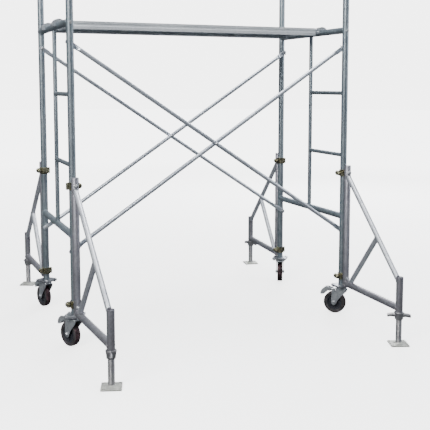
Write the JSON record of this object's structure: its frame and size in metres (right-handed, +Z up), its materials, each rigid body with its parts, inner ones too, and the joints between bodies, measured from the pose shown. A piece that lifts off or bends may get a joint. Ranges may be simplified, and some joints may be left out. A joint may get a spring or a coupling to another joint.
{
  "type": "mobile tower scaffold",
  "caption": "Rolling tower scaffold with ladder end frames, cross braces, a hooked catwalk, guardrails, braked swivel casters and clamped outriggers with screw feet.",
  "frame": {"origin": "middle of the tower at floor level", "axes": "+X along the bay from the left ladder frame to the right one, +Y from the ladder side to the rear, +Z up"},
  "size_m": [2.0503, 2.4376, 2.96],
  "materials": {
    "galvanised_frame": "hot-dip galvanised, blue-grey, faint spangle and light scuffs",
    "bright_brace": "bright galvanised tube, smoother and lighter than the frames",
    "galvanised_outrigger": "hot-dip galvanised, neutral grey, matt",
    "deck_steel": "galvanised sheet, lightly worn",
    "zinc_hardware": "zinc-plated pressings and fasteners, semi-bright",
    "yellow_zinc": "yellow zinc passivate with brown and green tints",
    "wheel_core": "dark painted cast core",
    "tyre_rubber": "black rubber with a brownish worn tread"
  },
  "bodies": {
    "tower": {"transom_left": "galvanised_frame", "bottom_rail_left": "galvanised_frame", "ladder_upright_left": "galvanised_frame", "transom_right": "galvanised_frame", "bottom_rail_right": "galvanised_frame", "ladder_upright_right": "galvanised_frame", "ladder_rungs": "galvanised_frame", "brace_front_rising": "bright_brace", "brace_front_falling": "bright_brace", "brace_rear_rising": "bright_brace", "brace_rear_falling": "bright_brace", "brace_rivets": "zinc_hardware", "spigots": "galvanised_frame", "spigot_bolts": "zinc_hardware", "brace_studs": "zinc_hardware", "brace_wing_nuts": "zinc_hardware", "guard_posts": "galvanised_frame", "end_guard_rails": "galvanised_frame", "side_guard_rails": "galvanised_frame", "deck_panel": "deck_steel", "deck_side_rails": "deck_steel", "deck_cross_bars": "deck_steel", "deck_hooks": "deck_steel", "caster_stems": "zinc_hardware", "standard_left_front": "galvanised_frame", "standard_right_front": "galvanised_frame", "standard_left_rear": "galvanised_frame", "standard_right_rear": "galvanised_frame"},
    "caster_left_front": {"caster_fork_left_front": "zinc_hardware"},
    "wheel_left_front": {"wheel_core_left_front": "wheel_core", "wheel_tyre_left_front": "tyre_rubber"},
    "pedal_left_front": {"brake_pedal_left_front": "zinc_hardware"},
    "outrigger_body_left_front": {"outrigger_left_front": "galvanised_outrigger", "outrigger_clamps_left_front": "yellow_zinc"},
    "leg_left_front": {"jack_leg_left_front": "galvanised_outrigger"},
    "nut_left_front": {"wing_nut_left_front": "zinc_hardware"},
    "caster_right_front": {"caster_fork_right_front": "zinc_hardware"},
    "wheel_right_front": {"wheel_core_right_front": "wheel_core", "wheel_tyre_right_front": "tyre_rubber"},
    "pedal_right_front": {"brake_pedal_right_front": "zinc_hardware"},
    "outrigger_body_right_front": {"outrigger_right_front": "galvanised_outrigger", "outrigger_clamps_right_front": "yellow_zinc"},
    "leg_right_front": {"jack_leg_right_front": "galvanised_outrigger"},
    "nut_right_front": {"wing_nut_right_front": "zinc_hardware"},
    "caster_left_rear": {"caster_fork_left_rear": "zinc_hardware"},
    "wheel_left_rear": {"wheel_core_left_rear": "wheel_core", "wheel_tyre_left_rear": "tyre_rubber"},
    "pedal_left_rear": {"brake_pedal_left_rear": "zinc_hardware"},
    "outrigger_body_left_rear": {"outrigger_left_rear": "galvanised_outrigger", "outrigger_clamps_left_rear": "yellow_zinc"},
    "leg_left_rear": {"jack_leg_left_rear": "galvanised_outrigger"},
    "nut_left_rear": {"wing_nut_left_rear": "zinc_hardware"},
    "caster_right_rear": {"caster_fork_right_rear": "zinc_hardware"},
    "wheel_right_rear": {"wheel_core_right_rear": "wheel_core", "wheel_tyre_right_rear": "tyre_rubber"},
    "pedal_right_rear": {"brake_pedal_right_rear": "zinc_hardware"},
    "outrigger_body_right_rear": {"outrigger_right_rear": "galvanised_outrigger", "outrigger_clamps_right_rear": "yellow_zinc"},
    "leg_right_rear": {"jack_leg_right_rear": "galvanised_outrigger"},
    "nut_right_rear": {"wing_nut_right_rear": "zinc_hardware"}
  },
  "joints": [
    {"name": "swivel_left_front", "type": "hinge", "parent": "tower", "child": "caster_left_front", "pos_m": [-0.9145, -0.457, 0.176], "axis": [0, 0, 1], "continuous": true},
    {"name": "roll_left_front", "type": "hinge", "parent": "caster_left_front", "child": "wheel_left_front", "pos_m": [-0.93423, -0.41655, 0.075], "axis": [-0.8988, -0.4384, 0], "continuous": true},
    {"name": "brake_left_front", "type": "hinge", "parent": "caster_left_front", "child": "pedal_left_front", "pos_m": [-0.92853, -0.42824, 0.159], "axis": [-0.8988, -0.4384, 0], "range_deg": [0, 6]},
    {"name": "swing_left_front", "type": "hinge", "parent": "tower", "child": "outrigger_body_left_front", "pos_m": [-0.9145, -0.457, 0.6], "axis": [0, 0, -1], "range_deg": [-30, 75]},
    {"name": "nut_turn_left_front", "type": "hinge", "parent": "outrigger_body_left_front", "child": "nut_left_front", "pos_m": [-0.87839, -1.14605, 0.18], "axis": [0, 0, 1], "range_deg": [-3600, 5400]},
    {"name": "jack_left_front", "type": "slide", "parent": "outrigger_body_left_front", "child": "leg_left_front", "axis": [0, 0, 1], "range_m": [-0.081, 0.121]},
    {"name": "swivel_right_front", "type": "hinge", "parent": "tower", "child": "caster_right_front", "pos_m": [0.9145, -0.457, 0.176], "axis": [0, 0, 1], "continuous": true},
    {"name": "roll_right_front", "type": "hinge", "parent": "caster_right_front", "child": "wheel_right_front", "pos_m": [0.88439, -0.42356, 0.075], "axis": [-0.7431, -0.6691, 0], "continuous": true},
    {"name": "brake_right_front", "type": "hinge", "parent": "caster_right_front", "child": "pedal_right_front", "pos_m": [0.89309, -0.43322, 0.159], "axis": [-0.7431, -0.6691, 0], "range_deg": [0, 6]},
    {"name": "swing_right_front", "type": "hinge", "parent": "tower", "child": "outrigger_body_right_front", "pos_m": [0.9145, -0.457, 0.6], "axis": [0, 0, 1], "range_deg": [-30, 75]},
    {"name": "nut_turn_right_front", "type": "hinge", "parent": "outrigger_body_right_front", "child": "nut_right_front", "pos_m": [0.89042, -1.14658, 0.18], "axis": [0, 0, 1], "range_deg": [-3600, 5400]},
    {"name": "jack_right_front", "type": "slide", "parent": "outrigger_body_right_front", "child": "leg_right_front", "axis": [0, 0, 1], "range_m": [-0.081, 0.121]},
    {"name": "swivel_left_rear", "type": "hinge", "parent": "tower", "child": "caster_left_rear", "pos_m": [-0.9145, 0.457, 0.176], "axis": [0, 0, 1], "continuous": true},
    {"name": "roll_left_rear", "type": "hinge", "parent": "caster_left_rear", "child": "wheel_left_rear", "pos_m": [-0.92766, 0.50003, 0.075], "axis": [-0.9563, -0.2924, 0], "continuous": true},
    {"name": "brake_left_rear", "type": "hinge", "parent": "caster_left_rear", "child": "pedal_left_rear", "pos_m": [-0.92386, 0.4876, 0.159], "axis": [-0.9563, -0.2924, 0], "range_deg": [0, 6]},
    {"name": "swing_left_rear", "type": "hinge", "parent": "tower", "child": "outrigger_body_left_rear", "pos_m": [-0.9145, 0.457, 0.6], "axis": [0, 0, 1], "range_deg": [-30, 75]},
    {"name": "nut_turn_left_rear", "type": "hinge", "parent": "outrigger_body_left_rear", "child": "nut_left_rear", "pos_m": [-0.93256, 1.14676, 0.18], "axis": [0, 0, 1], "range_deg": [-3600, 5400]},
    {"name": "jack_left_rear", "type": "slide", "parent": "outrigger_body_left_rear", "child": "leg_left_rear", "axis": [0, 0, 1], "range_m": [-0.081, 0.121]},
    {"name": "swivel_right_rear", "type": "hinge", "parent": "tower", "child": "caster_right_rear", "pos_m": [0.9145, 0.457, 0.176], "axis": [0, 0, 1], "continuous": true},
    {"name": "roll_right_rear", "type": "hinge", "parent": "caster_right_rear", "child": "wheel_right_rear", "pos_m": [0.93563, 0.49673, 0.075], "axis": [-0.8829, 0.4695, 0], "continuous": true},
    {"name": "brake_right_rear", "type": "hinge", "parent": "caster_right_rear", "child": "pedal_right_rear", "pos_m": [0.92952, 0.48525, 0.159], "axis": [-0.8829, 0.4695, 0], "range_deg": [0, 6]},
    {"name": "swing_right_rear", "type": "hinge", "parent": "tower", "child": "outrigger_body_right_rear", "pos_m": [0.9145, 0.457, 0.6], "axis": [0, 0, -1], "range_deg": [-30, 75]},
    {"name": "nut_turn_right_rear", "type": "hinge", "parent": "outrigger_body_right_rear", "child": "nut_right_rear", "pos_m": [0.98063, 1.14382, 0.18], "axis": [0, 0, 1], "range_deg": [-3600, 5400]},
    {"name": "jack_right_rear", "type": "slide", "parent": "outrigger_body_right_rear", "child": "leg_right_rear", "axis": [0, 0, 1], "range_m": [-0.081, 0.121]}
  ],
  "couplings": [
    {"joint": "jack_left_front", "follows": "nut_turn_left_front", "m_per_rad": 0.0012732},
    {"joint": "jack_right_front", "follows": "nut_turn_right_front", "m_per_rad": 0.0012732},
    {"joint": "jack_left_rear", "follows": "nut_turn_left_rear", "m_per_rad": 0.0012732},
    {"joint": "jack_right_rear", "follows": "nut_turn_right_rear", "m_per_rad": 0.0012732}
  ]
}
